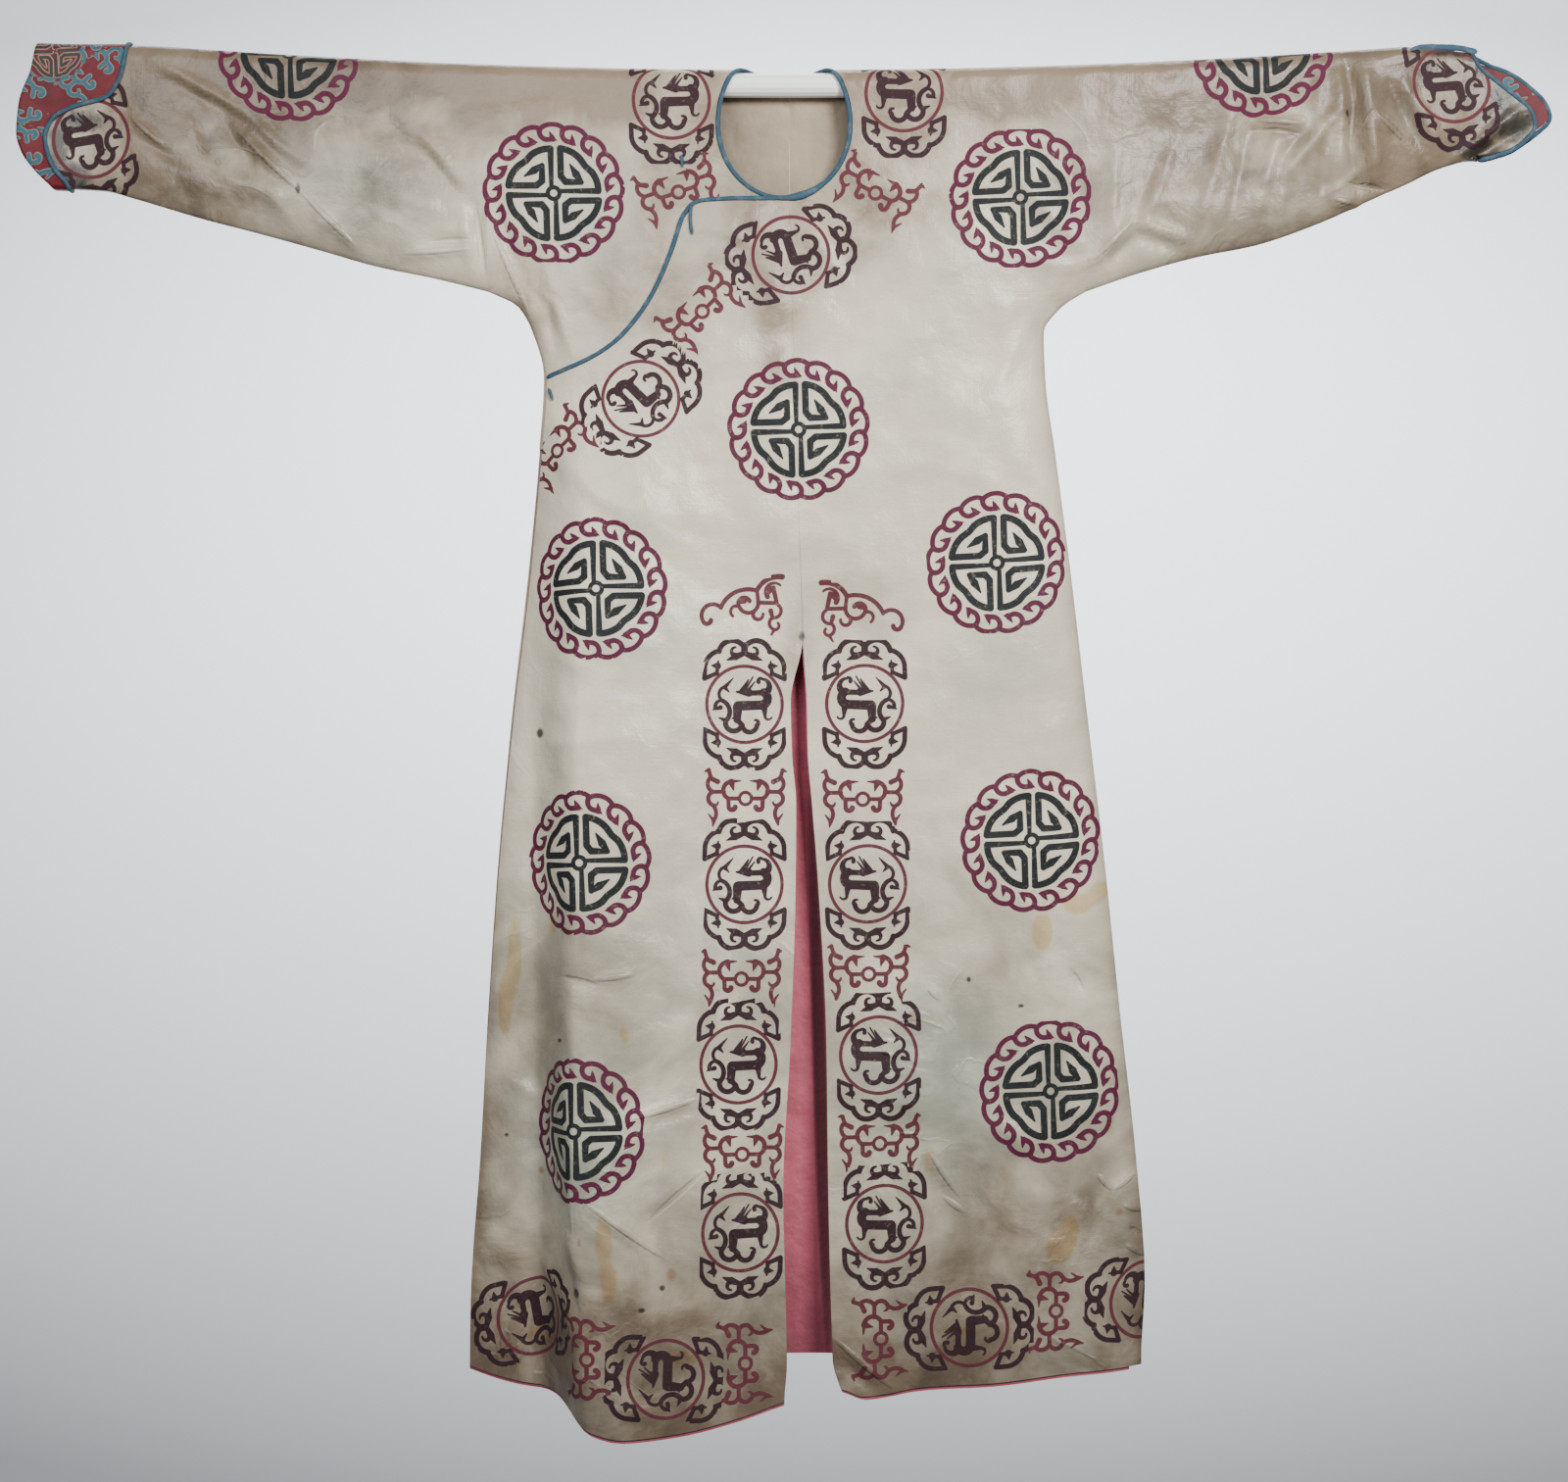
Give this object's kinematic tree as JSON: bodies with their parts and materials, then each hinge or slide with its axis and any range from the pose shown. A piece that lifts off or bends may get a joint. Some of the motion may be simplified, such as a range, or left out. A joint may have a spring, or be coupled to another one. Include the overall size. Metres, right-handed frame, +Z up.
{
  "type": "chinese robe on a rod",
  "caption": "Long lined silk robe with horseshoe cuffs, a curved front closing to the wearer's right and a front slit, hung flat on a rod through both sleeves.",
  "frame": {"origin": "middle of the rod, on its centre line", "axes": "+X towards the robe's own left along the rod, +Z up, front towards -Y"},
  "size_m": [1.6446, 0.1124, 1.4825],
  "materials": {
    "silk": "pale brocaded silk satin",
    "satin_red": "red satin",
    "lining_pink": "plain pink silk",
    "lining_tan": "plain tan cotton",
    "binding_blue": "plain blue silk",
    "rod_white": "satin white"
  },
  "bodies": {
    "root": {"body_left": "silk", "body_right": "silk", "front_overlap": "silk", "sleeve_left": "silk", "sleeve_right": "silk", "cuff_left": "silk", "cuff_right": "silk", "cuff_left_facing": "satin_red", "cuff_right_facing": "satin_red", "lining_yoke_left": "lining_tan", "lining_yoke_right": "lining_tan", "lining_back": "lining_pink", "lining_front_left": "lining_pink", "lining_front_right": "lining_pink", "neck_binding": "binding_blue", "overlap_binding": "binding_blue", "cuff_left_binding": "binding_blue", "cuff_right_binding": "binding_blue", "tie_neck": "binding_blue", "tie_shoulder": "binding_blue", "tie_side": "binding_blue", "rod": "rod_white"}
  },
  "joints": []
}
